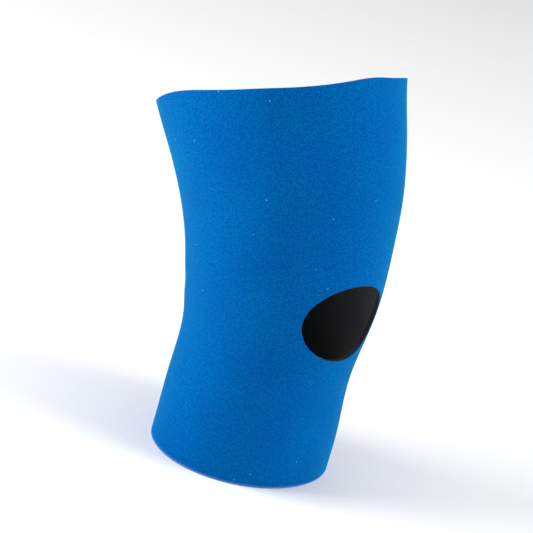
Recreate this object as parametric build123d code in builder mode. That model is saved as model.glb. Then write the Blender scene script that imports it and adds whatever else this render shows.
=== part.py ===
"""Open-patella knee sleeve: one tube of fabric-faced neoprene sheet, sewn to a slight knee bend.

The sheet is a laminate of outer fabric, foam core and lining. Its two edges are butted, cemented
and zigzag-stitched along the back of the leg, and an oval opening leaves the kneecap free.
The tube is cut here into a thigh part, a knee part and a calf part, which share one flexion axis:
the thigh part turns on the calf part, and the knee part is the cloth that stretches and creases.

Frame: +Z is up from the calf rim, which lies flat on Z = 0. The kneecap faces -Y, and X is the
wearer's side to side. The origin is under the middle of the whole sleeve. Millimetres and degrees.
"""

import os
from collections import namedtuple
from math import cos, degrees, radians, sin

from build123d import *

# ---- leg shape -------------------------------------------------------------------------------
calf_length = 105.0  # along the middle of the leg, from the knee centre down to the calf rim
thigh_length = 131.5  # and from the knee centre up to the thigh rim
sewn_flex = 22.0  # knee bend that the sleeve is sewn to
bend_radius = 80.0  # of the middle line, where it turns at the knee
thigh_rim_tilt = 5.2  # the thigh rim is cut higher at the front than square across

# Outer measures of the sleeve at each station along the middle line, 0 being the knee centre:
# half of the width, then the depth in front of the middle line and the depth behind it.
Girth = namedtuple("Girth", "station half_width front back")
girths = [
    Girth(-calf_length, half_width=60.5, front=50.5, back=56.5),  # calf rim
    Girth(-68.0, half_width=55.5, front=53.0, back=59.5),  # top of the calf
    Girth(-34.0, half_width=53.0, front=53.5, back=61.0),  # under the kneecap
    Girth(0.0, half_width=56.5, front=61.0, back=65.0),  # knee centre
    Girth(34.0, half_width=61.5, front=73.5, back=62.5),  # over the kneecap
    Girth(75.0, half_width=67.5, front=81.0, back=65.5),  # lower thigh
    Girth(thigh_length, half_width=76.0, front=81.0, back=80.5),  # thigh rim
]

# ---- sheet -----------------------------------------------------------------------------------
outer_fabric = 0.5  # nylon jersey face
foam = 2.2  # neoprene foam
lining = 0.5  # nylon jersey lining

# ---- patella opening -------------------------------------------------------------------------
opening_width = 63.5
opening_height = 52.0
opening_rise = 11.5  # height of its middle above the knee centre

# ---- back seam -------------------------------------------------------------------------------
seam_gap = 0.3  # cement line between the two butted edges of the sheet
stitch_width = 6.0  # of the zigzag
stitch_height = 0.5  # the thread stands this far off the fabric
bartack_width = 9.0
bartack_height = 0.8
bartack_length = 4.0  # along the seam
bartack_margin = 3.0  # from the rim to the bartack

# ---- flexion ---------------------------------------------------------------------------------
axis_setback = 12.0  # the knee turns about an axis this far behind the middle line
flex_travel = 88.0  # further flex from the sewn bend
wedge_spare = 3.0  # degrees that each wedge of moving cloth is wider than its travel
axis_relief = 4.0  # radius of the cloth left round the axis at each side

REACH = 400.0  # longer than the sleeve: the size of cutting bodies
overrun = 12.0  # the leg form runs on this far past each rim, so that the rims are cut clean


# ---- middle line -----------------------------------------------------------------------------
half_bend = bend_radius * radians(sewn_flex) / 2  # length of the bend on each side of the knee centre


def middle_line(station):
    """Point on the middle line and its lean from upright, in degrees, with the calf rim on Z = 0."""
    turned = min(max(station + half_bend, 0.0), 2 * half_bend) / bend_radius
    past_bend = max(station - half_bend, 0.0)
    straight = calf_length + min(station, -half_bend)
    y = bend_radius * (1 - cos(turned)) + past_bend * sin(turned)
    z = straight + bend_radius * sin(turned) + past_bend * cos(turned)
    return Vector(0, y, z), degrees(turned)


def leg_plane(point, lean):
    """Plane across the leg at a point: local x is +X, local y points to the back of the leg."""
    tilt = radians(lean)
    return Plane(origin=point, x_dir=(1, 0, 0), z_dir=(0, sin(tilt), cos(tilt)))


def girth_plane(girth):
    """Plane of a girth, with its origin in the middle of the girth's oval."""
    point, lean = middle_line(girth.station)
    if girth is girths[-1]:
        lean += thigh_rim_tilt
    across = leg_plane(point, lean)
    return Plane(
        origin=across.from_local_coords((0, (girth.back - girth.front) / 2, 0)),
        x_dir=across.x_dir,
        z_dir=across.z_dir,
    )


calf_rim = girth_plane(girths[0])
thigh_rim = girth_plane(girths[-1])
knee_centre, knee_lean = middle_line(0.0)
knee_plane = leg_plane(knee_centre, knee_lean)
flex_axis_point = knee_plane.from_local_coords((0, axis_setback, 0))
side_plane = Plane(origin=flex_axis_point, x_dir=knee_plane.y_dir, z_dir=(1, 0, 0))
sheet = outer_fabric + foam + lining
stitch_margin = bartack_margin + bartack_length  # the zigzag runs from bartack to bartack


# ---- forms that the pieces are cut from --------------------------------------------------------
def rim_overrun(rim_girth, next_girth):
    """Half width and half depth of the leg form where it runs on past a rim, at the same taper."""
    share = overrun / abs(rim_girth.station - next_girth.station)
    half_width = rim_girth.half_width + share * (rim_girth.half_width - next_girth.half_width)
    rim_depth = rim_girth.front + rim_girth.back
    depth = rim_depth + share * (rim_depth - next_girth.front - next_girth.back)
    return half_width, depth / 2


def oval(half_width, half_depth):
    """Closed curve of an ellipse in two halves, which meet at the two sides."""
    EllipticalCenterArc((0, 0), half_width, half_depth, start_angle=0, arc_size=180)
    EllipticalCenterArc((0, 0), half_width, half_depth, start_angle=180, arc_size=180)


def leg_form(inset):
    """Leg form whose surface lies `inset` inside the sleeve's outer face. It runs on past the rims."""
    sections = [(calf_rim.offset(-overrun), *rim_overrun(*girths[:2]))]
    for girth in girths:
        sections.append((girth_plane(girth), girth.half_width, (girth.front + girth.back) / 2))
    sections.append((thigh_rim.offset(overrun), *rim_overrun(*girths[:-3:-1])))
    with BuildPart() as form:
        for plane, half_width, half_depth in sections:
            with BuildSketch(plane):
                with BuildLine():
                    oval(half_width - inset, half_depth - inset)
                make_face()
        loft()
    return form.part


def skin(region, outer_inset, inner_inset):
    """The part of a region that lies between two insets of the leg form."""
    with BuildPart() as cloth:
        add(region)
        add(leg_form(outer_inset), mode=Mode.INTERSECT)
        add(leg_form(inner_inset), mode=Mode.SUBTRACT)
    return cloth.part


def between_rims(margin):
    """Space between two planes that lie `margin` inside the rims."""
    with BuildPart() as space:
        with BuildSketch(calf_rim.offset(margin)):
            Rectangle(2 * REACH, 2 * REACH)
        extrude(amount=REACH)
        with BuildSketch(thigh_rim.offset(-margin)):
            Rectangle(4 * REACH, 4 * REACH)
        extrude(amount=REACH, mode=Mode.SUBTRACT)
    return space.part


def back_strip(width, margin):
    """Straight-sided strip over the back seam, `width` wide, that stops `margin` inside the rims."""
    with BuildPart() as strip:
        with BuildSketch(Plane.XZ):
            Rectangle(width, 2 * REACH)
        extrude(amount=-REACH)
        add(between_rims(margin), mode=Mode.INTERSECT)
    return strip.part


def opening_punch():
    """Straight oval punch through the front of the sleeve."""
    with BuildPart() as punch:
        with BuildSketch(Plane.XZ.offset(-flex_axis_point.Y)):
            with Locations((0, knee_centre.Z + opening_rise)):
                Ellipse(opening_width / 2, opening_height / 2)
        extrude(amount=REACH)
    return punch.part


def wedge(middle, spread):
    """Prism along X with its edge on the flexion axis, `spread` degrees wide about `middle`."""
    corners = [(0, 0)]
    for turn in (middle - spread / 2, middle, middle + spread / 2):
        corners.append((REACH * cos(radians(turn)), REACH * sin(radians(turn))))
    with BuildPart() as prism:
        with BuildSketch(side_plane):
            Polygon(*corners, align=None)
        extrude(amount=REACH, both=True)
    return prism.part


def knee_region():
    """Space of the cloth that stretches and creases: a rear and a front wedge round the axis."""
    with BuildPart() as region:
        add(wedge(0, flex_travel + wedge_spare))
        add(wedge(180, sewn_flex + wedge_spare))
        with BuildSketch(side_plane):
            Circle(axis_relief)
        extrude(amount=REACH, both=True)
    return region.part


def leg_side(up):
    """Everything on the thigh side (up = 1) or the calf side (up = -1) of the knee."""
    with BuildPart() as half:
        with BuildSketch(knee_plane):
            Rectangle(2 * REACH, 2 * REACH)
        extrude(amount=up * REACH)
    return half.part


def part_of(block, name):
    """The thigh, knee or calf part of a block that runs from rim to rim."""
    with BuildPart() as share:
        add(block)
        if name == "knee":
            add(knee_space, mode=Mode.INTERSECT)
        else:
            add(leg_side(1 if name == "thigh" else -1), mode=Mode.INTERSECT)
            add(knee_space, mode=Mode.SUBTRACT)
    return share.part


def sheet_block():
    """Space of the sheet: from rim to rim, less the patella opening and the butted back seam."""
    with BuildPart() as block:
        add(between_rims(0))
        add(opening_punch(), mode=Mode.SUBTRACT)
        add(seam_slot, mode=Mode.SUBTRACT)
    return block.part


def bartack_face(side, outer_inset, inner_inset):
    """Dense stitches that lock one end of the seam, on one face of the sheet."""
    with BuildPart() as face:
        add(back_strip(bartack_width, bartack_margin))
        add(between_rims(stitch_margin), mode=Mode.SUBTRACT)
        add(leg_side(side), mode=Mode.INTERSECT)
    return skin(face.part, outer_inset, inner_inset)


def bartack(side):
    """Both faces of the bartack at the thigh end (side = 1) or the calf end (side = -1)."""
    with BuildPart() as tack:
        add(bartack_face(side, -bartack_height, 0))
        add(bartack_face(side, sheet, sheet + bartack_height))
    return tack.part


# ---- pieces --------------------------------------------------------------------------------------
knee_space = knee_region()
seam_slot = back_strip(seam_gap, 0)
sheet_space = sheet_block()
stitch_space = back_strip(stitch_width, stitch_margin)

# Space that each layer fills, then how far its two faces lie inside the sleeve's outer face.
layers = {
    "outer_fabric": (sheet_space, 0, outer_fabric),
    "foam_core": (sheet_space, outer_fabric, outer_fabric + foam),
    "lining": (sheet_space, outer_fabric + foam, sheet),
    "seam_cement": (seam_slot, 0, sheet),
    "outer_stitching": (stitch_space, -stitch_height, 0),
    "inner_stitching": (stitch_space, sheet, sheet + stitch_height),
}

pieces = {}
for part_name in ("thigh", "knee", "calf"):
    for layer_name, (space, outer_inset, inner_inset) in layers.items():
        pieces[f"{part_name}_{layer_name}"] = skin(part_of(space, part_name), outer_inset, inner_inset)
pieces["thigh_bartack"] = bartack(1)
pieces["calf_bartack"] = bartack(-1)

# ---- place and write ---------------------------------------------------------------------------
whole = Compound(children=[piece.moved(Location()) for piece in pieces.values()]).bounding_box()
to_origin = Location((-whole.center().X, -whole.center().Y, -whole.min.Z))

os.makedirs("parts", exist_ok=True)
for name, piece in pieces.items():
    placed = piece.moved(to_origin)
    placed.label = name
    export_step(placed, f"parts/{name}.step")
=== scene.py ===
"""Looks of an open-patella knee sleeve: royal blue jersey over black neoprene foam, with a black lining.

The sheet is worked out from the leg's girths, as a surface with two measures: the turn around the leg
from the back seam, and the station along the leg. Every layer, stitch and tack is laid on that surface.
Lengths are in millimetres and turned into metres where a mesh is made.
"""

import math

import bmesh
import bpy
import numpy as np
from mathutils import Matrix, Vector

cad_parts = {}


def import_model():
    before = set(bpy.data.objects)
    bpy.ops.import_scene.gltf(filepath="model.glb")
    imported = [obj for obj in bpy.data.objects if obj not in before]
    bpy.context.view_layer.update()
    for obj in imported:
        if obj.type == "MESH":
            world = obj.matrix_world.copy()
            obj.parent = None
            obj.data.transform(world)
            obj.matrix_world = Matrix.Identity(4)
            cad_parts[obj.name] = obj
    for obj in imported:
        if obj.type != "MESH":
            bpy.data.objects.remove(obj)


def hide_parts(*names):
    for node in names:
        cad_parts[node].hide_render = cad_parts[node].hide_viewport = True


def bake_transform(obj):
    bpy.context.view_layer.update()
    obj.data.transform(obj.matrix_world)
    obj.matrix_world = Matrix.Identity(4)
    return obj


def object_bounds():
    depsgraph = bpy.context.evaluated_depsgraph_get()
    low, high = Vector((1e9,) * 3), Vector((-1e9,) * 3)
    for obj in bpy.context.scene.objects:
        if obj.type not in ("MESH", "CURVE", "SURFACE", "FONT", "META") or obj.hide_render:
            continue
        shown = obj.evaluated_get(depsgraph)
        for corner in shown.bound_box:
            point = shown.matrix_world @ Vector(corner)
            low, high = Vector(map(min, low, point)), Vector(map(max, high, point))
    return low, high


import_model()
packed_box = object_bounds()

MM = 0.001

# ---- leg shape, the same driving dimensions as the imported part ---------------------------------
CALF_LENGTH = 105.0
THIGH_LENGTH = 131.5
SEWN_FLEX = math.radians(22.0)
BEND_RADIUS = 80.0
THIGH_RIM_TILT = math.radians(5.2)
OVERRUN = 12.0  # the surface is defined this far past each rim
TURN_RADIUS = 60.0  # a turn around the leg is counted in millimetres at this radius
GIRTHS = [  # station from the knee centre, half width, depth in front of the middle line, depth behind
    (-CALF_LENGTH, 60.5, 50.5, 56.5),
    (-68.0, 55.5, 53.0, 59.5),
    (-34.0, 53.0, 53.5, 61.0),
    (0.0, 56.5, 61.0, 65.0),
    (34.0, 61.5, 73.5, 62.5),
    (75.0, 67.5, 81.0, 65.5),
    (THIGH_LENGTH, 76.0, 81.0, 80.5),
]

# ---- sheet and opening -------------------------------------------------------------------------
OUTER_FABRIC = 0.5
FOAM = 2.2
LINING = 0.5
SHEET = OUTER_FABRIC + FOAM + LINING
OPENING_WIDTH = 63.5
OPENING_HEIGHT = 52.0
OPENING_RISE = 11.5  # above the knee centre

# ---- seam and thread ---------------------------------------------------------------------------
SEAM_GAP = 0.3
ZIGZAG_WIDTH = 6.0
ZIGZAG_PITCH = 1.5  # along the seam, from one needle hole to the next
BARTACK_WIDTH = 9.0
BARTACK_PITCH = 0.4
BARTACK_MARGIN = 3.0
BARTACK_LENGTH = 4.0
THREAD_RADIUS = 0.2
THREAD_SIDES = 6
STITCH_LEG = ((0.0, -0.3), (0.08, 0.1), (0.3, 0.2), (0.7, 0.2), (0.92, 0.1))  # share of the width, height
BARTACK_LIFT = 2.2  # a bartack stands this many times as high as the zigzag

# ---- unevenness of the worn sheet, with sides in turns from the front ----------------------------
CREST_HEIGHT = 1.5  # of the low upright crest on the thigh
CREST_SIDE = 0.9
CREST_SPREAD = 0.2
CREST_STATION = 100.0
CREST_LENGTH = 50.0
SWELL_HEIGHT = 0.35
RIPPLE_HEIGHT = 0.14
CREASE_HEIGHT = 0.55  # of the cross creases behind the knee
CREASE_PITCH = 5.2
RIM_RISES = (  # height of each rise of the thigh rim, the side where it peaks, and its spread
    (2.5, 1.7, 0.38),
    (-2.2, 2.5, 0.4),
    (-1.4, 0.6, 0.35),
    (1.1, 0.0, 0.2),
    (-0.5, -1.2, 0.4),
)
RIM_RISE_DEPTH = 22.0  # the rises fade out over this length below the rim

# ---- mesh --------------------------------------------------------------------------------------
CELL = 2.0  # side of a face of the sheet
EDGE_STEPS = (0.0, 0.25, 0.6, 1.1, 1.8, 2.8, 4.2)  # rows close to a cut edge
SEAM_STEPS = (SEAM_GAP / 2, 0.5, 1.0, 1.8, 3.0, 4.5)  # columns close to the seam
PATCH_MARGIN = 13.0  # from the opening to the outline of the patch of faces that runs round it
PATCH_STEPS = (6.2, 8.6, 11.2)  # rings of the patch, past those close to the cut edge


# ---- surface of the leg ------------------------------------------------------------------------
def middle_line(station):
    """(y, z, lean) of the middle line at a station, with the calf rim on z = 0."""
    half_bend = BEND_RADIUS * SEWN_FLEX / 2
    turned = min(max(station + half_bend, 0.0), 2 * half_bend) / BEND_RADIUS
    past = max(station - half_bend, 0.0)
    y = BEND_RADIUS * (1 - math.cos(turned)) + past * math.sin(turned)
    z = CALF_LENGTH + min(station, -half_bend) + BEND_RADIUS * math.sin(turned) + past * math.cos(turned)
    return y, z, turned


def section(station, half_width, front, back, tilt=0.0, beyond=0.0):
    """One girth as a row of numbers: oval centre (y, z), back direction (y, z), half width, half depth."""
    y, z, lean = middle_line(station)
    lean += tilt
    shift = (back - front) / 2
    along = np.array([math.sin(lean), math.cos(lean)])
    behind = np.array([math.cos(lean), -math.sin(lean)])
    centre = np.array([y, z]) + shift * behind + beyond * along
    return [*centre, *behind, half_width, (front + back) / 2]


def past_rim(rim, inner):
    """Half width and half depth of a girth OVERRUN past the rim, at the same taper."""
    share = OVERRUN / abs(rim[0] - inner[0])
    width = rim[1] + share * (rim[1] - inner[1])
    depth = (rim[2] + rim[3] + share * (rim[2] + rim[3] - inner[2] - inner[3])) / 2
    return width, depth


def all_sections():
    """Every girth's section, from calf to thigh, with one more past each rim."""
    rows = [section(*girth) for girth in GIRTHS[:-1]]
    rows.append(section(*GIRTHS[-1], tilt=THIGH_RIM_TILT))
    calf = section(*GIRTHS[0], beyond=-OVERRUN)
    thigh = section(*GIRTHS[-1], tilt=THIGH_RIM_TILT, beyond=OVERRUN)
    calf[4:] = past_rim(GIRTHS[0], GIRTHS[1])
    thigh[4:] = past_rim(GIRTHS[-1], GIRTHS[-2])
    return np.array([calf, *rows, thigh])


SECTIONS = all_sections()
STATIONS = np.array([-CALF_LENGTH - OVERRUN, *[girth[0] for girth in GIRTHS], THIGH_LENGTH + OVERRUN])


def spline_curvatures(knots):
    """Matrix that turns values at the knots into a natural cubic spline's second derivatives there."""
    n, step = len(knots), np.diff(knots)
    bend, jump = np.eye(n), np.zeros((n, n))
    for i in range(1, n - 1):
        bend[i, i - 1 : i + 2] = step[i - 1] / 6, (step[i - 1] + step[i]) / 3, step[i] / 6
        jump[i, i - 1 : i + 2] = 1 / step[i - 1], -1 / step[i - 1] - 1 / step[i], 1 / step[i]
    return np.linalg.solve(bend, jump)


CURVATURES = spline_curvatures(STATIONS)


def spline_weights(station):
    """How much each section counts at these stations, as rows of a matrix."""
    k = np.clip(np.searchsorted(STATIONS, station) - 1, 0, len(STATIONS) - 2)
    step = STATIONS[k + 1] - STATIONS[k]
    b = (station - STATIONS[k]) / step
    a = 1 - b
    eye = np.eye(len(STATIONS))
    bending = (a**3 - a)[:, None] * CURVATURES[k] + (b**3 - b)[:, None] * CURVATURES[k + 1]
    return a[:, None] * eye[k] + b[:, None] * eye[k + 1] + bending * (step**2)[:, None] / 6


def bell(value, middle, spread):
    """A smooth hump: 1 at the middle, falling to nothing within about two spreads."""
    return np.exp(-(((value - middle) / spread) ** 2))


def from_seam(turn):
    """Turn to the back seam, the shorter way round."""
    return np.minimum(turn, 2 * math.pi - turn)


def undulation(turn, station):
    """Soft unevenness of the worn sheet, in millimetres inwards."""
    side = turn - math.pi
    crest = -CREST_HEIGHT * bell(side, CREST_SIDE, CREST_SPREAD) * bell(station, CREST_STATION, CREST_LENGTH)
    swell = SWELL_HEIGHT * np.sin(2 * side + station / 21.0) * np.sin(station / 33.0 + 0.7)
    ripple = RIPPLE_HEIGHT * np.sin(5 * side - station / 13.0) * np.sin(station / 17.0 + 2 * side)
    behind_knee = bell(from_seam(turn), 0.0, 0.75) * bell(station, 4.0, 26.0)
    creases = CREASE_HEIGHT * behind_knee * np.sin(station / CREASE_PITCH)
    return crest + swell + ripple + creases


def seam_dip(turn, station):
    """How far the stitches pull the sheet in along the seam."""
    across = from_seam(turn) * TURN_RADIUS
    pucker = 1 + 0.25 * np.cos(math.pi * station / ZIGZAG_PITCH)
    return 0.45 * bell(across, 0.0, 1.1) * pucker + 0.2 * bell(across, 0.0, 4.5)


def on_sheet(turn, station, inset, plain=False):
    """Points (n, 3) of the sheet, `inset` inside its outer face, before the move into the frame."""
    turn, station, inset = (np.asarray(value, float) for value in np.broadcast_arrays(turn, station, inset))
    if not plain:
        inset = inset + undulation(turn, station) + seam_dip(turn, station)
    rows = spline_weights(station.ravel())
    turn, inset = turn.ravel()[:, None], inset.ravel()[:, None]
    across = (SECTIONS[None, :, 4] - inset) * np.sin(turn)
    behind = (SECTIONS[None, :, 5] - inset) * np.cos(turn)
    y = SECTIONS[None, :, 0] + behind * SECTIONS[None, :, 2]
    z = SECTIONS[None, :, 1] + behind * SECTIONS[None, :, 3]
    return np.stack([(rows * across).sum(1), (rows * y).sum(1), (rows * z).sum(1)], 1)


def frame_shift():
    """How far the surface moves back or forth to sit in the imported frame, worked out from the bounds."""
    turns, stations = np.linspace(0, 2 * math.pi, 121), np.linspace(-CALF_LENGTH, THIGH_LENGTH, 121)
    turn, station = np.meshgrid(turns, stations)
    y = on_sheet(turn, station, 0.0, plain=True)[:, 1]
    middle = (packed_box[0].y + packed_box[1].y) / 2 / MM
    return middle - (y.min() + y.max()) / 2


SHIFT_Y = frame_shift()


# ---- flat mesh of the sheet, in turn and station -------------------------------------------------
def graded(low, high, low_steps, high_steps):
    """Values from low to high: fine steps next to each end and steps of about CELL between."""
    start, end = low + low_steps[-1], high - high_steps[-1]
    middle = np.linspace(start, end, int(round((end - start) / CELL)) + 1)[1:-1]
    return np.array([*(low + np.array(low_steps)), *middle, *(high - np.array(high_steps))[::-1]])


def opening_edge(angles):
    """(turn, station) of points on the opening's edge. Angle 0 is at +X and a quarter turn on is up."""
    knee_z = middle_line(0.0)[1]
    x = OPENING_WIDTH / 2 * np.cos(angles)
    z = knee_z + OPENING_RISE + OPENING_HEIGHT / 2 * np.sin(angles)
    turn, station = math.pi - x / TURN_RADIUS, z - knee_z
    nudge_turn, nudge_station = 1e-3, 1e-2
    for _ in range(8):
        here = on_sheet(turn, station, 0.0, plain=True)
        across = on_sheet(turn + nudge_turn, station, 0.0, plain=True) - here
        along = on_sheet(turn, station + nudge_station, 0.0, plain=True) - here
        turn = turn + nudge_turn * (x - here[:, 0]) / across[:, 0]
        station = station + nudge_station * (z - here[:, 2]) / along[:, 2]
    return turn, station


def sheet_plan():
    """(turn, station, faces, edge loops) of the flat sheet: a grid, with a patch of rings at the opening."""
    turns = graded(0.0, 2 * math.pi * TURN_RADIUS, SEAM_STEPS, SEAM_STEPS) / TURN_RADIUS
    stations = graded(-CALF_LENGTH, THIGH_LENGTH, EDGE_STEPS, EDGE_STEPS)
    edge_turn, edge_station = opening_edge(np.linspace(0, 2 * math.pi, 73))
    pad = PATCH_MARGIN / TURN_RADIUS
    c0, c1 = np.searchsorted(turns, [edge_turn.min() - pad, edge_turn.max() + pad])
    reach = [edge_station.min() - PATCH_MARGIN, edge_station.max() + PATCH_MARGIN]
    r0, r1 = np.searchsorted(stations, reach)
    columns, rows = len(turns), len(stations)
    turn, station = (grid.ravel() for grid in np.meshgrid(turns, stations))
    index = np.arange(rows * columns).reshape(rows, columns)
    faces = []
    for r in range(rows - 1):
        for c in range(columns - 1):
            if not (r0 <= r < r1 and c0 <= c < c1):
                faces.append((index[r, c], index[r, c + 1], index[r + 1, c + 1], index[r + 1, c]))
    border = [*index[r0, c0:c1], *index[r0:r1, c1], *index[r1, c1:c0:-1], *index[r1:r0:-1, c0]]
    outline = on_sheet(turn[border], station[border], 0.0, plain=True)
    above = (outline[:, 2] - middle_line(0.0)[1] - OPENING_RISE) / OPENING_HEIGHT
    angles = np.arctan2(above, outline[:, 0] / OPENING_WIDTH)
    in_turn, in_station = opening_edge(angles)
    shares = np.array([*EDGE_STEPS, *PATCH_STEPS]) / (PATCH_MARGIN + 1)
    rings = [np.arange(len(border)) + rows * columns + k * len(border) for k in range(len(shares))]
    for share in shares:
        turn = np.append(turn, in_turn + share * (turn[border] - in_turn))
        station = np.append(station, in_station + share * (station[border] - in_station))
    rings.append(np.array(border))
    for inner, outer in zip(rings[:-1], rings[1:]):
        for i in range(len(border)):
            j = (i + 1) % len(border)
            faces.append((outer[i], outer[j], inner[j], inner[i]))
    rim_loop = [*index[0, :], *index[1:, -1], *index[-1, -2::-1], *index[-2:0:-1, 0]]
    return turn, station, np.array(faces), [rim_loop, list(rings[0])[::-1]]


def without_loose(turn, station, faces, loops):
    """The plan with the points under the opening left out."""
    used = np.unique(faces)
    new = np.full(len(turn), -1)
    new[used] = np.arange(len(used))
    return turn[used], station[used], new[faces], [new[loop] for loop in loops]


PLAN = without_loose(*sheet_plan())


def edge_distance(turn, station):
    """Distance from the nearest cut edge, in millimetres: the two rims and the opening."""
    here = on_sheet(turn, station, 0.0, plain=True)
    hole = on_sheet(*opening_edge(np.linspace(0, 2 * math.pi, 361)), 0.0, plain=True)
    nearest = np.minimum(station + CALF_LENGTH, THIGH_LENGTH - station)
    front = np.abs(turn - math.pi) < 1.0
    gaps = np.linalg.norm(here[front][:, None, :] - hole[None, :, :], axis=2).min(1)
    nearest[front] = np.minimum(nearest[front], gaps)
    return nearest


EDGE_DISTANCE = edge_distance(PLAN[0], PLAN[1])


def rim_wave(turn, station):
    """How far the thigh rim strays from straight, in millimetres up the leg, fading out below it."""
    side = turn - math.pi
    wave = sum(height * bell(side, middle, spread) for height, middle, spread in RIM_RISES)
    return wave * bell(station, THIGH_LENGTH, RIM_RISE_DEPTH)


def corner_round(distance, radius):
    """How far a face draws in next to a cut edge, as a quarter round. A radius of 0 leaves it sharp."""
    share = np.clip(1 - distance / max(radius, 1e-6), 0, 1)
    return radius * (1 - np.sqrt(1 - share**2))


def new_object(name, points, faces, material):
    """A smooth-shaded mesh, with its points in millimetres moved into the frame."""
    mesh = bpy.data.meshes.new(name)
    placed = (points + np.array([0.0, SHIFT_Y, 0.0])) * MM
    mesh.from_pydata(placed.tolist(), [], [tuple(int(i) for i in face) for face in faces])
    solid = bmesh.new()
    solid.from_mesh(mesh)
    bmesh.ops.recalc_face_normals(solid, faces=solid.faces)
    solid.to_mesh(mesh)
    solid.free()
    mesh.polygons.foreach_set("use_smooth", [True] * len(mesh.polygons))
    mesh.materials.append(material)
    obj = bpy.data.objects.new(name, mesh)
    bpy.context.scene.collection.objects.link(obj)
    return obj


def add_uv(obj, across, along):
    """Cloth measures of each point, in metres, as the UV map that weave and grain follow."""
    layer = obj.data.uv_layers.new(name="cloth")
    vertex = np.zeros(len(obj.data.loops), int)
    obj.data.loops.foreach_get("vertex_index", vertex)
    layer.data.foreach_set("uv", (np.stack([across[vertex], along[vertex]], 1) * MM).ravel())


def layer_object(name, outer, inner, material, outer_round, inner_round, wall_steps, wall_dip):
    """One closed layer of the sheet between two insets, with the walls of its cut edges."""
    turn, station, faces, loops = PLAN
    count = len(turn)
    moved = station + rim_wave(turn, station)
    top = on_sheet(turn, moved, outer + corner_round(EDGE_DISTANCE, outer_round))
    bottom = on_sheet(turn, moved, inner - corner_round(EDGE_DISTANCE, inner_round))
    points, cells = [top, bottom], [*faces, *(faces[:, ::-1] + count)]
    across, along = [turn * TURN_RADIUS] * 2, [station] * 2
    total = 2 * count
    for loop in loops:
        rows = [np.array(loop)]
        out = wall_normal(loop, top[loop] - bottom[loop])
        for step in range(1, wall_steps):
            share = step / wall_steps
            wall = top[loop] + share * (bottom[loop] - top[loop])
            wall = wall + wall_dip * math.sin(math.pi * share) * out
            points.append(wall)
            across.append(turn[loop] * TURN_RADIUS)
            along.append(station[loop] + share * (inner - outer))
            rows.append(np.arange(len(loop)) + total)
            total += len(loop)
        rows.append(np.array(loop) + count)
        for upper, lower in zip(rows[:-1], rows[1:]):
            for i in range(len(loop)):
                j = (i + 1) % len(loop)
                cells.append((upper[j], upper[i], lower[i], lower[j]))
    obj = new_object(name, np.concatenate(points), cells, material)
    add_uv(obj, np.concatenate(across), np.concatenate(along))
    return obj


def wall_normal(loop, outwards):
    """Direction out of a cut edge, square to the edge and to the sheet."""
    here = on_sheet(PLAN[0][loop], PLAN[1][loop], 0.0)
    ahead = np.roll(here, -1, 0) - np.roll(here, 1, 0)
    out = -np.cross(ahead, outwards)
    return out / (np.linalg.norm(out, axis=1)[:, None] + 1e-9)


# ---- thread --------------------------------------------------------------------------------------
def tube(name, path, radius, material):
    """A thread as one closed mesh of rings along a path, with its own length as UV."""
    ahead = np.gradient(path, axis=0)
    ahead /= np.linalg.norm(ahead, axis=1)[:, None]
    up = np.cross(ahead, np.array([0.0, 0.0, 1.0]))
    up /= np.linalg.norm(up, axis=1)[:, None] + 1e-9
    side = np.cross(ahead, up)
    length = np.append(0, np.cumsum(np.linalg.norm(np.diff(path, axis=0), axis=1)))
    points, across, along = [], [], []
    for k in range(THREAD_SIDES):
        angle = 2 * math.pi * k / THREAD_SIDES
        points.append(path + radius * (math.cos(angle) * up + math.sin(angle) * side))
        across.append(np.full(len(path), k / THREAD_SIDES * 2 * math.pi * radius))
        along.append(length)
    points = np.stack(points, 1).reshape(-1, 3)
    across, along = np.stack(across, 1).ravel(), np.stack(along, 1).ravel()
    faces = []
    for i in range(len(path) - 1):
        for k in range(THREAD_SIDES):
            n = (k + 1) % THREAD_SIDES
            low, high = i * THREAD_SIDES, (i + 1) * THREAD_SIDES
            faces.append((low + k, low + n, high + n, high + k))
    faces.append(tuple(range(THREAD_SIDES))[::-1])
    faces.append(tuple((len(path) - 1) * THREAD_SIDES + k for k in range(THREAD_SIDES)))
    obj = new_object(name, points, faces, material)
    add_uv(obj, across, along)
    return obj


def zigzag(start, end, width, pitch, level, lift):
    """Path of a zigzag from one station to another. It dives into a needle hole at each turn."""
    legs = int(round((end - start) / pitch))
    across, along, height = [], [], []
    for leg in range(legs):
        side = 1 if leg % 2 else -1
        for share, level_up in STITCH_LEG:
            across.append(side * width / 2 * (1 - 2 * share))
            along.append(start + (leg + share) * (end - start) / legs)
            height.append(level_up)
    turn = np.array(across) / TURN_RADIUS
    inset = level - lift * np.array(height)
    return on_sheet(np.mod(turn, 2 * math.pi), np.array(along), inset)


# ---- materials -----------------------------------------------------------------------------------
LINT_SPACING = 9.0
LINT_SIZE = 0.042  # as a share of the spacing
FRAY_HEIGHT = 1.8  # of the pale line above the calf rim
FOAM_CELL = 0.35
THREAD_TWIST = 0.9  # from one stripe of the wound plies to the next


def srgb(red, green, blue):
    """A display colour, from 0 to 255, as linear light."""

    def linear(value):
        value /= 255
        return value / 12.92 if value <= 0.04045 else ((value + 0.055) / 1.055) ** 2.4

    return (linear(red), linear(green), linear(blue), 1.0)


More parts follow.
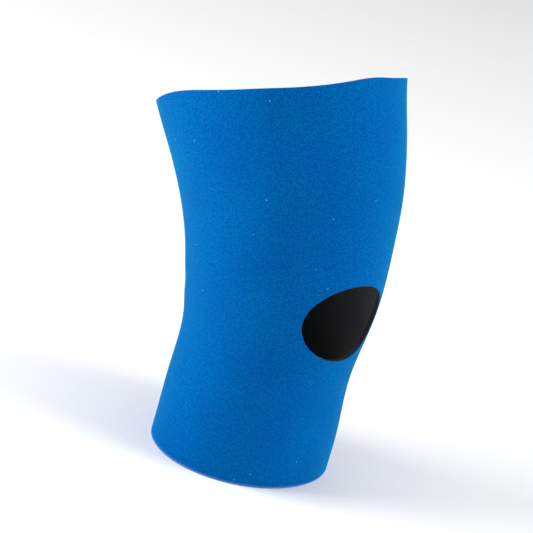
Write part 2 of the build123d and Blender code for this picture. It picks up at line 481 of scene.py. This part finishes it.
class Shader:
    """A procedural material. Its patterns lie on the cloth's own measures or in space, in millimetres."""

    def __init__(self, name):
        self.material = bpy.data.materials.new(name)
        self.material.use_nodes = True
        self.tree = self.material.node_tree
        self.surface = self.tree.nodes["Principled BSDF"]
        cloth = self.add("ShaderNodeUVMap")
        cloth.uv_map = "cloth"
        scaled = self.add("ShaderNodeVectorMath", operation="SCALE")
        self.tree.links.new(cloth.outputs["UV"], scaled.inputs[0])
        scaled.inputs["Scale"].default_value = 1 / MM
        self.cloth = scaled.outputs["Vector"]
        place = self.add("ShaderNodeTexCoord")
        in_mm = self.add("ShaderNodeVectorMath", operation="SCALE")
        self.tree.links.new(place.outputs["Object"], in_mm.inputs[0])
        in_mm.inputs["Scale"].default_value = 1 / MM
        self.space = in_mm.outputs["Vector"]
        self.height = None

    def add(self, kind, **settings):
        node = self.tree.nodes.new(kind)
        for key, value in settings.items():
            setattr(node, key, value)
        return node

    def link(self, socket, value):
        """A constant or another node's output into a socket."""
        if isinstance(value, bpy.types.NodeSocket):
            self.tree.links.new(value, socket)
        else:
            socket.default_value = value

    def math(self, operation, first, second=0.0):
        node = self.add("ShaderNodeMath", operation=operation)
        self.link(node.inputs[0], first)
        self.link(node.inputs[1], second)
        return node.outputs[0]

    def noise(self, size, detail=2.0, where=None):
        """Soft noise whose lumps are about `size` millimetres across."""
        node = self.add("ShaderNodeTexNoise")
        self.link(node.inputs["Vector"], where or self.cloth)
        node.inputs["Scale"].default_value = 1 / size
        node.inputs["Detail"].default_value = detail
        return node.outputs["Fac"]

    def between(self, value, low, high):
        """Value from low..high mapped to 0..1."""
        node = self.add("ShaderNodeMapRange")
        self.link(node.inputs["Value"], value)
        node.inputs["From Min"].default_value = low
        node.inputs["From Max"].default_value = high
        return node.outputs["Result"]

    def mix(self, share, first, second):
        """From the first colour to the second as the share goes from 0 to 1."""
        node = self.add("ShaderNodeMix", data_type="RGBA")
        self.link(node.inputs["Factor"], share)
        self.link(node.inputs["A"], first)
        self.link(node.inputs["B"], second)
        return node.outputs["Result"]

    def gaps(self, knit, share):
        """Painted shade in the low places between the loops of a knit, at most `share` strong."""
        return self.math("MULTIPLY", self.math("SUBTRACT", 1.0, knit), share)

    def bump(self, height, depth, strength=1.0):
        """Lays one more relief, `depth` millimetres deep, over those before it."""
        node = self.add("ShaderNodeBump")
        self.link(node.inputs["Height"], height)
        node.inputs["Distance"].default_value = depth * MM
        node.inputs["Strength"].default_value = strength
        if self.height:
            self.tree.links.new(self.height, node.inputs["Normal"])
        self.height = node.outputs["Normal"]
        self.tree.links.new(self.height, self.surface.inputs["Normal"])

    def set(self, **values):
        """Values or outputs for the surface's own sockets."""
        for key, value in values.items():
            self.link(self.surface.inputs[key.replace("_", " ")], value)


def jersey_relief(shader, wale, course):
    """Height of a jersey knit: columns of V-shaped loops, `wale` wide and `course` high."""
    split = shader.add("ShaderNodeSeparateXYZ")
    shader.link(split.inputs[0], shader.cloth)
    column = shader.math("MULTIPLY", split.outputs["X"], 2 * math.pi / wale)
    ribs = shader.math("ABSOLUTE", shader.math("SINE", shader.math("MULTIPLY", column, 0.5)))
    slant = shader.math("MULTIPLY", ribs, 0.5 * course)
    climb = shader.math("ADD", split.outputs["Y"], slant)
    loops = shader.math("SINE", shader.math("MULTIPLY", climb, 2 * math.pi / course))
    lifted = shader.math("MULTIPLY", shader.math("ADD", loops, 1.0), 0.5)
    return shader.math("MULTIPLY", ribs, shader.math("ADD", shader.math("MULTIPLY", lifted, 0.6), 0.4))


def lint_specks(shader):
    """1 on stray specks of lint, in about half of the cells of a loose pattern, and 0 elsewhere."""
    lint = shader.add("ShaderNodeTexVoronoi")
    shader.link(lint.inputs["Vector"], shader.cloth)
    lint.inputs["Scale"].default_value = 1 / LINT_SPACING
    near = shader.math("LESS_THAN", lint.outputs["Distance"], LINT_SIZE)
    chosen = shader.add("ShaderNodeSeparateColor")
    shader.link(chosen.inputs[0], lint.outputs["Color"])
    return shader.math("MULTIPLY", near, shader.math("GREATER_THAN", chosen.outputs[0], 0.55))


def outer_fabric_material():
    """Brushed blue jersey: mottled yarns, stray lint, a paler frayed line along the calf rim, and painted
    shade in the low places of the knit.
    """
    shader = Shader("outer_fabric")
    knit = jersey_relief(shader, wale=0.75, course=0.6)
    blotch = shader.between(shader.noise(2.6, 4.0), 0.35, 0.65)
    grain = shader.between(shader.noise(1.0, 2.0), 0.35, 0.68)
    drift = shader.between(shader.noise(38.0, 2.0), 0.35, 0.65)
    knit_gap_shade, light = srgb(0, 60, 128), srgb(0, 124, 200)
    colour = shader.mix(blotch, srgb(0, 72, 142), srgb(0, 92, 162))
    colour = shader.mix(shader.math("MULTIPLY", grain, 0.75), colour, light)
    # painted shade: darker colour in the low places between the knit loops
    colour = shader.mix(shader.gaps(knit, 0.25), colour, knit_gap_shade)
    colour = shader.mix(shader.math("MULTIPLY", drift, 0.3), colour, srgb(4, 75, 156))
    colour = shader.mix(shader.math("MULTIPLY", lint_specks(shader), 0.7), colour, srgb(120, 185, 235))
    height = shader.add("ShaderNodeSeparateXYZ")
    shader.link(height.inputs[0], shader.cloth)
    fray = shader.between(height.outputs["Y"], FRAY_HEIGHT - CALF_LENGTH, 0.2 - CALF_LENGTH)
    colour = shader.mix(shader.math("MULTIPLY", fray, 0.75), colour, srgb(120, 150, 220))
    shader.set(Base_Color=colour, Roughness=0.9, Sheen_Weight=0.3, Sheen_Roughness=0.35)
    shader.set(Sheen_Tint=srgb(0, 240, 235), Specular_IOR_Level=0.06, Specular_Tint=srgb(0, 120, 255))
    shader.bump(shader.noise(3.0, 3.0), 0.3, 0.6)
    shader.bump(grain, 0.12, 0.7)
    shader.bump(knit, 0.12, 0.4)
    return shader.material


def lining_material():
    """Black jersey of the inner face, with a slightly coarser knit and painted shade in its low places."""
    shader = Shader("lining")
    knit = jersey_relief(shader, wale=0.8, course=0.65)
    grain = shader.between(shader.noise(1.4, 3.0), 0.3, 0.7)
    colour = shader.mix(grain, srgb(34, 36, 42), srgb(48, 51, 58))
    # painted shade: darker colour in the low places between the knit loops
    colour = shader.mix(shader.gaps(knit, 0.5), colour, srgb(18, 19, 23))
    shader.set(Base_Color=colour, Roughness=0.9, Sheen_Weight=0.2, Sheen_Roughness=0.5)
    shader.set(Specular_IOR_Level=0.2)
    shader.bump(shader.noise(5.0, 3.0), 0.25, 0.5)
    shader.bump(knit, 0.16, 0.9)
    return shader.material


def foam_material():
    """Cut face of closed-cell foam: small open cells in a matt black skin, with painted shade in the hollows
    of the cells.
    """
    shader = Shader("foam_core")
    cells = shader.add("ShaderNodeTexVoronoi")
    shader.link(cells.inputs["Vector"], shader.space)
    cells.inputs["Scale"].default_value = 1 / FOAM_CELL
    rim = shader.between(cells.outputs["Distance"], 0.0, 0.6)
    dust = shader.between(shader.noise(1.6, 3.0, shader.space), 0.35, 0.7)
    # painted shade: darker towards the middle of each cell, where the bump makes its hollow
    colour = shader.mix(rim, srgb(14, 14, 16), srgb(40, 40, 44))
    colour = shader.mix(shader.math("MULTIPLY", dust, 0.35), colour, srgb(58, 58, 62))
    shader.set(Base_Color=colour, Roughness=0.93, Specular_IOR_Level=0.25)
    shader.bump(shader.noise(1.8, 3.0, shader.space), 0.2, 0.6)
    shader.bump(rim, 0.12, 0.8)
    return shader.material


def cement_material():
    """Dried black contact cement, smeared and a little glossy."""
    shader = Shader("seam_cement")
    smear = shader.between(shader.noise(2.2, 4.0, shader.space), 0.3, 0.7)
    shader.set(Base_Color=shader.mix(smear, srgb(16, 16, 18), srgb(34, 34, 38)), Roughness=0.45)
    shader.bump(smear, 0.15, 0.7)
    return shader.material


def thread_material():
    """Two-ply polyester thread: the plies wind round it as slanting stripes, with painted shade in the
    grooves between them.
    """
    shader = Shader("thread")
    split = shader.add("ShaderNodeSeparateXYZ")
    shader.link(split.inputs[0], shader.cloth)
    wound = shader.math("ADD", shader.math("MULTIPLY", split.outputs["X"], 2.0), split.outputs["Y"])
    ply_relief_and_shade = shader.math("SINE", shader.math("MULTIPLY", wound, 2 * math.pi / THREAD_TWIST))
    ply_relief_and_shade = shader.math("MULTIPLY", shader.math("ADD", ply_relief_and_shade, 1.0), 0.5)
    fuzz = shader.between(shader.noise(0.5, 2.0), 0.3, 0.7)
    # painted shade: darker in the grooves between the plies, paler on their crests
    colour = shader.mix(ply_relief_and_shade, srgb(0, 62, 140), srgb(20, 112, 205))
    colour = shader.mix(shader.math("MULTIPLY", fuzz, 0.25), colour, srgb(60, 140, 220))
    shader.set(Base_Color=colour, Roughness=0.5, Sheen_Weight=0.3, Sheen_Tint=srgb(150, 205, 255))
    shader.bump(ply_relief_and_shade, 0.08, 0.8)
    return shader.material


# ---- pieces --------------------------------------------------------------------------------------
def seam_cement(material):
    """Cement line between the butted edges, a little lower than both faces."""
    stations = np.arange(-CALF_LENGTH, THIGH_LENGTH + 0.5, 1.0)
    stations[-1] = THIGH_LENGTH
    half = SEAM_GAP / 2 / TURN_RADIUS
    dips = 0.12 + 0.06 * np.sin(stations * 1.9) * np.sin(stations * 0.37)
    corners = [
        on_sheet(np.full(len(stations), 2 * math.pi - half), stations, dips),
        on_sheet(np.full(len(stations), half), stations, dips),
        on_sheet(np.full(len(stations), half), stations, SHEET - dips),
        on_sheet(np.full(len(stations), 2 * math.pi - half), stations, SHEET - dips),
    ]
    n, faces = len(stations), []
    for k in range(4):
        m = (k + 1) % 4
        faces += [(k * n + i, m * n + i, m * n + i + 1, k * n + i + 1) for i in range(n - 1)]
    faces += [(0, n, 2 * n, 3 * n), (n - 1, 4 * n - 1, 3 * n - 1, 2 * n - 1)]
    obj = new_object("seam_cement", np.concatenate(corners), faces, material)
    add_uv(obj, np.repeat(np.arange(4) * SHEET, n), np.tile(stations, 4))
    return obj


def stitch_pieces(material):
    """The zigzag and the bartacks, on the outer and the inner face."""
    calf_end = -CALF_LENGTH + BARTACK_MARGIN
    thigh_end = THIGH_LENGTH - BARTACK_MARGIN
    made = {}
    for face, level, lift in (("outer", 0.0, 1.0), ("inner", SHEET, -1.0)):
        first, last = calf_end + BARTACK_LENGTH, thigh_end - BARTACK_LENGTH
        row = zigzag(first, last, ZIGZAG_WIDTH, ZIGZAG_PITCH, level, lift)
        made[f"{face}_stitching"] = tube(f"{face}_stitching", row, THREAD_RADIUS, material)
        for end, low in (("calf", calf_end), ("thigh", last)):
            high = low + BARTACK_LENGTH
            tack = zigzag(low, high, BARTACK_WIDTH, BARTACK_PITCH, level, lift * BARTACK_LIFT)
            made[f"{end}_bartack_{face}"] = tube(f"{end}_bartack_{face}", tack, THREAD_RADIUS, material)
    return made


def cloth_area():
    """Area of the sheet halfway through its thickness, in square metres."""
    turn, station, faces, _ = PLAN
    points = on_sheet(turn, station, SHEET / 2)
    a, b, c, d = (points[faces[:, k]] for k in range(4))
    return float(np.linalg.norm(np.cross(c - a, d - b), axis=1).sum() / 2) * MM**2


def follow_knee(*objs):
    """Bakes each object's placement into its mesh."""
    for obj in objs:
        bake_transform(obj)


thread = thread_material()
outer = layer_object("outer_fabric", 0.0, OUTER_FABRIC, outer_fabric_material(), 0.3, 0.0, 2, 0.0)
foam = layer_object("foam_core", OUTER_FABRIC, OUTER_FABRIC + FOAM, foam_material(), 0.0, 0.0, 5, -0.18)
lining = layer_object("lining", OUTER_FABRIC + FOAM, SHEET, lining_material(), 0.0, 0.25, 2, 0.0)
cement = seam_cement(cement_material())
stitches = stitch_pieces(thread)

follow_knee(outer, foam, lining, cement, *stitches.values())
for part in ("thigh", "knee", "calf"):
    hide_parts(f"{part}_outer_fabric")
    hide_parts(f"{part}_foam_core")
    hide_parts(f"{part}_lining")
    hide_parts(f"{part}_seam_cement")
    for face in ("outer", "inner"):
        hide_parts(f"{part}_{face}_stitching")
for part in ("thigh", "calf"):
    for face in ("outer", "inner"):
        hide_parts(f"{part}_bartack")

area = cloth_area()


# ---- stage, lights and camera: metres and watts, and the lens in millimetres --------------------
FLOOR_SIZE = 12.0
FLOOR_COLOUR = (0.86, 0.86, 0.87, 1)
SKY_STRENGTH = 0.3
SOFTBOXES = (  # name, direction from the knee, distance, side and power in watts
    ("key", (-0.75, 0.6, 0.5), 1.6, 1.0, 28.0),
    ("fill", (0.6, -0.9, 0.5), 1.8, 0.8, 24.0),
    ("top", (0.1, 0.1, 1.0), 1.8, 1.6, 15.0),
)
CAMERA_AZIMUTH = math.radians(-48.3)
CAMERA_ELEVATION = math.radians(21.5)
CAMERA_ROLL = math.radians(-15.5)
CAMERA_DISTANCE = 2.26
CAMERA_LENS = 245.8
CAMERA_SENSOR = 36.0
CAMERA_SHIFT = (-0.0298, 0.0621)


def floor():
    """A plain pale floor at the height of the calf rim."""
    half = FLOOR_SIZE / 2
    corners = [(-half, -half, 0), (half, -half, 0), (half, half, 0), (-half, half, 0)]
    mesh = bpy.data.meshes.new("floor")
    mesh.from_pydata(corners, [], [(0, 1, 2, 3)])
    obj = bpy.data.objects.new("floor", mesh)
    bpy.context.scene.collection.objects.link(obj)
    material = bpy.data.materials.new("floor")
    material.use_nodes = True
    surface = material.node_tree.nodes["Principled BSDF"]
    surface.inputs["Base Color"].default_value = FLOOR_COLOUR
    surface.inputs["Roughness"].default_value = 0.9
    mesh.materials.append(material)


def softbox(name, direction, distance, size, power, target):
    """A square soft light that stands `distance` away in a direction and faces the target."""
    light = bpy.data.lights.new(name, "AREA")
    light.shape = "SQUARE"
    light.size = size
    light.energy = power
    obj = bpy.data.objects.new(name, light)
    way = Vector(direction).normalized()
    obj.location = target + way * distance
    obj.rotation_mode = "QUATERNION"
    obj.rotation_quaternion = way.to_track_quat("Z", "Y")
    bpy.context.scene.collection.objects.link(obj)


def camera(target):
    """The main view, placed from the knee outwards and framed by a small shift."""
    data = bpy.data.cameras.new("camera")
    data.lens = CAMERA_LENS
    data.sensor_width = CAMERA_SENSOR
    data.shift_x, data.shift_y = CAMERA_SHIFT
    obj = bpy.data.objects.new("camera", data)
    bpy.context.scene.collection.objects.link(obj)
    flat, rising = math.cos(CAMERA_ELEVATION), math.sin(CAMERA_ELEVATION)
    back = Vector((math.sin(CAMERA_AZIMUTH) * flat, -math.cos(CAMERA_AZIMUTH) * flat, rising))
    level = Vector((math.cos(CAMERA_AZIMUTH), math.sin(CAMERA_AZIMUTH), 0.0))
    upright = back.cross(level)
    right = level * math.cos(CAMERA_ROLL) - upright * math.sin(CAMERA_ROLL)
    up = level * math.sin(CAMERA_ROLL) + upright * math.cos(CAMERA_ROLL)
    turned = Matrix((right, up, back)).transposed().to_4x4()
    turned.translation = target + back * CAMERA_DISTANCE
    obj.matrix_world = turned
    bpy.context.scene.camera = obj


def world():
    """Plain white light from all around."""
    sky = bpy.data.worlds.new("studio")
    sky.use_nodes = True
    light = sky.node_tree.nodes["Background"]
    light.inputs["Color"].default_value = (1.0, 1.0, 1.0, 1)
    light.inputs["Strength"].default_value = SKY_STRENGTH
    bpy.context.scene.world = sky


knee_y, knee_z, _ = middle_line(0.0)
knee = Vector((0.0, knee_y + SHIFT_Y, knee_z)) * MM
floor()
world()
for softbox_settings in SOFTBOXES:
    softbox(*softbox_settings, target=knee)
camera(target=knee)
bpy.context.scene.view_settings.view_transform = "Standard"
